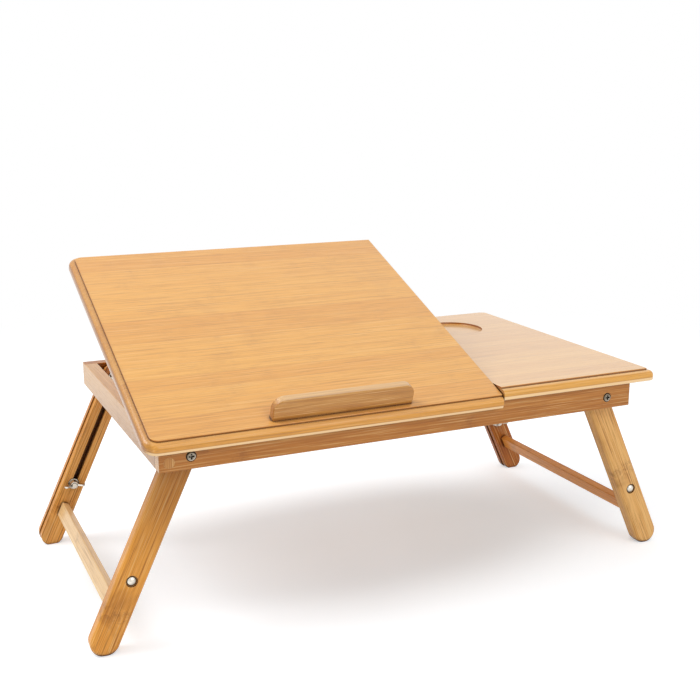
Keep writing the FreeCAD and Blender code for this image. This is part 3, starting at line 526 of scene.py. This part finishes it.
finishes = {
    "fixed_panel": bamboo(
        "fixed_panel_bamboo",
        X_AXIS,
        Y_AXIS,
        TOP,
        1.0,
        strength=0.1,
        coat=1.0,
        grain=0.55,
        up=Z_AXIS,
        underside=FIXED_UNDERSIDE,
        painted_sheen=0.25,
    ),
    "tilt_panel": bamboo(
        "tilt_panel_bamboo",
        X_AXIS,
        TILTED_BACK,
        TILTED_TOP,
        2.0,
        strength=0.1,
        coat=1.0,
        grain=0.6,
        up=TILTED_UP,
        underside=TILTED_UNDERSIDE,
        painted_sheen=0.1,
        shade_gradient=(-X_AXIS, *BORDER_SHADE_SPAN, 0.3),
    ),
    "laptop_ledge": bamboo(
        "ledge_bamboo",
        X_AXIS,
        TILTED_UP,
        LEDGE,
        3.0,
        LEDGE_STRIP,
        strength=0.1,
        coat=0.8,
        up=TILTED_UP,
        underside=TILTED_UNDERSIDE,
        painted_sheen=0.3,
    ),
    "ledge_dowels": bamboo("dowel_bamboo", TILTED_UP, X_AXIS, INSIDE, 4.0),
    "front_rail": bamboo(
        "front_rail_bamboo", X_AXIS, Z_AXIS, RAIL, 5.0, RAIL_STRIP, grain=0.8, end_tone=PALE_END
    ),
    "rear_rail": bamboo(
        "rear_rail_bamboo", X_AXIS, Z_AXIS, RAIL, 6.0, RAIL_STRIP, grain=0.8, end_tone=PALE_END
    ),
    "left_end_rail": bamboo(
        "end_rail_bamboo",
        Y_AXIS,
        Z_AXIS,
        LIT_END_RAIL,
        7.0,
        RAIL_STRIP,
        strength=0.2,
        grain=0.5,
        shade_gradient=(DOWN_AND_FRONT, *END_RAIL_SHADE_SPAN, 0.5),
    ),
    "corner_plugs": bamboo("plug_bamboo", Z_AXIS, X_AXIS, PLUG, 8.0, RAIL_STRIP),
}
across_bamboo = bamboo("crosswise_bamboo", Y_AXIS, Z_AXIS, INSIDE, 9.0)
lengthwise_bamboo = bamboo("lengthwise_bamboo", X_AXIS, Z_AXIS, INSIDE, 10.0)
for name in ("right_front_post", "right_rear_post", "divider", "drawer_front", "drawer_back"):
    finishes[name] = across_bamboo
for name in ("drawer_runner_front", "drawer_runner_rear", "drawer_side_front", "drawer_side_rear"):
    finishes[name] = lengthwise_bamboo
finishes["drawer_bottom"] = bamboo("drawer_bottom_bamboo", X_AXIS, Y_AXIS, INSIDE, 11.0)
finishes["drawer_knob"] = bamboo("knob_bamboo", Z_AXIS, Y_AXIS, INSIDE, 12.0)
finishes["pivot_spacers"] = across_bamboo
finishes["pivot_screws"] = screw_steel

# Along the leg, from the pivot down. Painted shade darkens each leg towards its top, most on the left front
# one.
LEG_KNUCKLES = {"left": 163 * MM, "right": 100 * MM}
LEG_SHADE_START = 130 * MM
LEG_SHADE_END = 25 * MM
SLIGHT_LEG_SHADE = 0.06
LEG_SHADE_SHARES = {("left", "front"): 0.58}
REAR_TONES = {"left": LEFT_REAR_LEG, "right": SHADED_RIGHT_REAR_LEG}
seed = 20.0
for side, up, leg_tones, bar_tones in (
    ("left", UP_LEFT_LEG, LEFT_LEG, LIT_LEFT_BAR),
    ("right", UP_RIGHT_LEG, RIGHT_LEG, RIGHT_BAR),
):
    across = Y_AXIS.cross(up)
    pivot = Vector(joint(f"{side}_fold")["pos_m"]).dot(up)
    finishes[f"{side}_stretcher"] = bamboo(
        f"{side}_stretcher_bamboo", Y_AXIS, up, bar_tones, seed, grain=0.6
    )
    for end in ("front", "rear"):
        for board in ("upper", "lower"):
            seed += 1
            node = f"{side}_{end}_{board}_leg"
            tones = REAR_TONES[side] if end == "rear" else leg_tones
            share = LEG_SHADE_SHARES.get((side, end), SLIGHT_LEG_SHADE)
            finishes[node] = bamboo(
                f"{node}_bamboo",
                up,
                across,
                tones,
                seed,
                strip_width=LEG_STRIP,
                knuckle=pivot - LEG_KNUCKLES[side],
                stagger=0.05,
                strength=0.5,
                coat=0.35,
                grain=1.25,
                shade_gradient=(up, pivot - LEG_SHADE_START, pivot - LEG_SHADE_END, share),
            )

zinc_nodes = (
    "hinge_fixed_leaves",
    "hinge_moving_leaves",
    "hinge_pins",
    "hinge_rail_screws",
    "hinge_panel_screws",
    "tilt_stay",
    "stay_bracket",
    "stay_bracket_screws",
    "stay_pin",
)
for name, node in frame["nodes"].items():
    finish = finishes.get(name) or (zinc if name in zinc_nodes else nickel)
    node.data.materials.clear()
    node.data.materials.append(finish)

# ---------------------------------------------------------------- floor
FLOOR_SIZE = 12.0
FLOOR_DROP = 0.2 * MM
FLOOR_TONE = (0.815, 0.858, 0.9, 1)
FLOOR_ROUGHNESS = 0.9
FLOOR_SPECULAR = 0.1
INNER_GLOW = 0.19                # what the camera sees added to the floor, under the object
OUTER_GLOW = 0.46                # and around it, where only the feet leave a shadow
SHADOW_HALVES = (0.40, 0.185)    # half the length and depth of the soft shadow, in metres
INNER_REACH = 0.5                # of those halves, from the middle to where the inner glow ends
OUTER_REACH = 1.12
WHITE_START = 0.8                # metres from the middle to where the floor begins to whiten
WHITE_REACH = 1.4                # and to where it is all white


def floor_material():
    """Pale and matt, just white where nothing shades it, and all white far from the object."""
    tree = MaterialTree("floor_white")
    tree.shader.inputs["Base Color"].default_value = FLOOR_TONE
    tree.shader.inputs["Roughness"].default_value = FLOOR_ROUGHNESS
    tree.shader.inputs["Specular IOR Level"].default_value = FLOOR_SPECULAR
    seen = tree.seen_directly()
    scaled = tree.node("ShaderNodeVectorMath", operation="MULTIPLY")
    tree.put(tree.position, scaled.inputs[0])
    scaled.inputs[1].default_value = (1 / SHADOW_HALVES[0], 1 / SHADOW_HALVES[1], 0)
    outwards = tree.length(scaled.outputs[0])
    # painted shadow: the glow is weaker in an ellipse under the object, so the soft shadow shows there and
    # is washed out round it
    strength = tree.span(outwards, INNER_REACH, OUTER_REACH, INNER_GLOW, OUTER_GLOW)
    glow = tree.node("ShaderNodeEmission")
    tree.put(tree.math("MULTIPLY", seen, strength), glow.inputs["Strength"])
    both = tree.node("ShaderNodeAddShader")
    tree.put(tree.shader.outputs[0], both.inputs[0])
    tree.put(glow.outputs[0], both.inputs[1])
    white = tree.node("ShaderNodeEmission")
    fade = tree.span(tree.length(tree.position), WHITE_START, WHITE_REACH)
    choice = tree.node("ShaderNodeMixShader")
    tree.put(tree.math("MULTIPLY", seen, fade), choice.inputs["Fac"])
    tree.put(both.outputs[0], choice.inputs[1])
    tree.put(white.outputs[0], choice.inputs[2])
    tree.put(choice.outputs[0], tree.nodes["Material Output"].inputs["Surface"])
    return tree.material


bpy.ops.mesh.primitive_plane_add(size=FLOOR_SIZE, location=(0, 0, -FLOOR_DROP))
floor = bpy.context.object
floor.name = "floor"
floor.data.materials.append(floor_material())

# ---------------------------------------------------------------- light
WORLD_LIGHT = 0.6
LIT_PLACE = (0, 0, 0.15)         # the middle of the object, in metres
KEY_PLACE = (-1.5, 0.5, 1.9)
FILL_PLACE = (0.6, -2.2, 1.4)


def white_world():
    """Lights the object evenly, and is plain white wherever it is seen."""
    world = bpy.data.worlds.new("studio")
    bpy.context.scene.world = world
    world.use_nodes = True
    tree = Tree(world.node_tree)
    lighting = tree.nodes["Background"]
    lighting.inputs["Color"].default_value = (1, 1, 1, 1)
    lighting.inputs["Strength"].default_value = WORLD_LIGHT
    backdrop = tree.node("ShaderNodeBackground")
    backdrop.inputs["Color"].default_value = (1, 1, 1, 1)
    choice = tree.node("ShaderNodeMixShader")
    tree.put(tree.seen_directly(), choice.inputs["Fac"])
    tree.put(lighting.outputs[0], choice.inputs[1])
    tree.put(backdrop.outputs[0], choice.inputs[2])
    tree.put(choice.outputs[0], tree.nodes["World Output"].inputs["Surface"])


def softbox(name, place, size, watts):
    """A square lamp, in metres, that faces the object."""
    data = bpy.data.lights.new(name, "AREA")
    data.shape = "SQUARE"
    data.size = size
    data.energy = watts
    lamp = bpy.data.objects.new(name, data)
    bpy.context.scene.collection.objects.link(lamp)
    lamp.location = place
    towards = Vector(LIT_PLACE) - Vector(place)
    lamp.rotation_euler = towards.to_track_quat("-Z", "Y").to_euler()


white_world()
softbox("key", KEY_PLACE, size=1.3, watts=25)
softbox("fill", FILL_PLACE, size=1.8, watts=16)

# ---------------------------------------------------------------- camera
CAMERA_PLACE = (-0.48369, -1.05992, 0.50571)    # in metres
CAMERA_YAW = 24.69           # degrees from +Y towards +X
CAMERA_PITCH = 13.449        # degrees below level
CAMERA_LENS = 55.33          # mm, on a sensor of the width below
SENSOR_WIDTH = 36

camera_data = bpy.data.cameras.new("camera")
camera_data.lens = CAMERA_LENS
camera_data.sensor_width = SENSOR_WIDTH
camera = bpy.data.objects.new("camera", camera_data)
bpy.context.scene.collection.objects.link(camera)
camera.location = CAMERA_PLACE
camera.rotation_euler = (math.radians(90 - CAMERA_PITCH), 0, -math.radians(CAMERA_YAW))
bpy.context.scene.camera = camera
bpy.context.scene.view_settings.view_transform = "Standard"
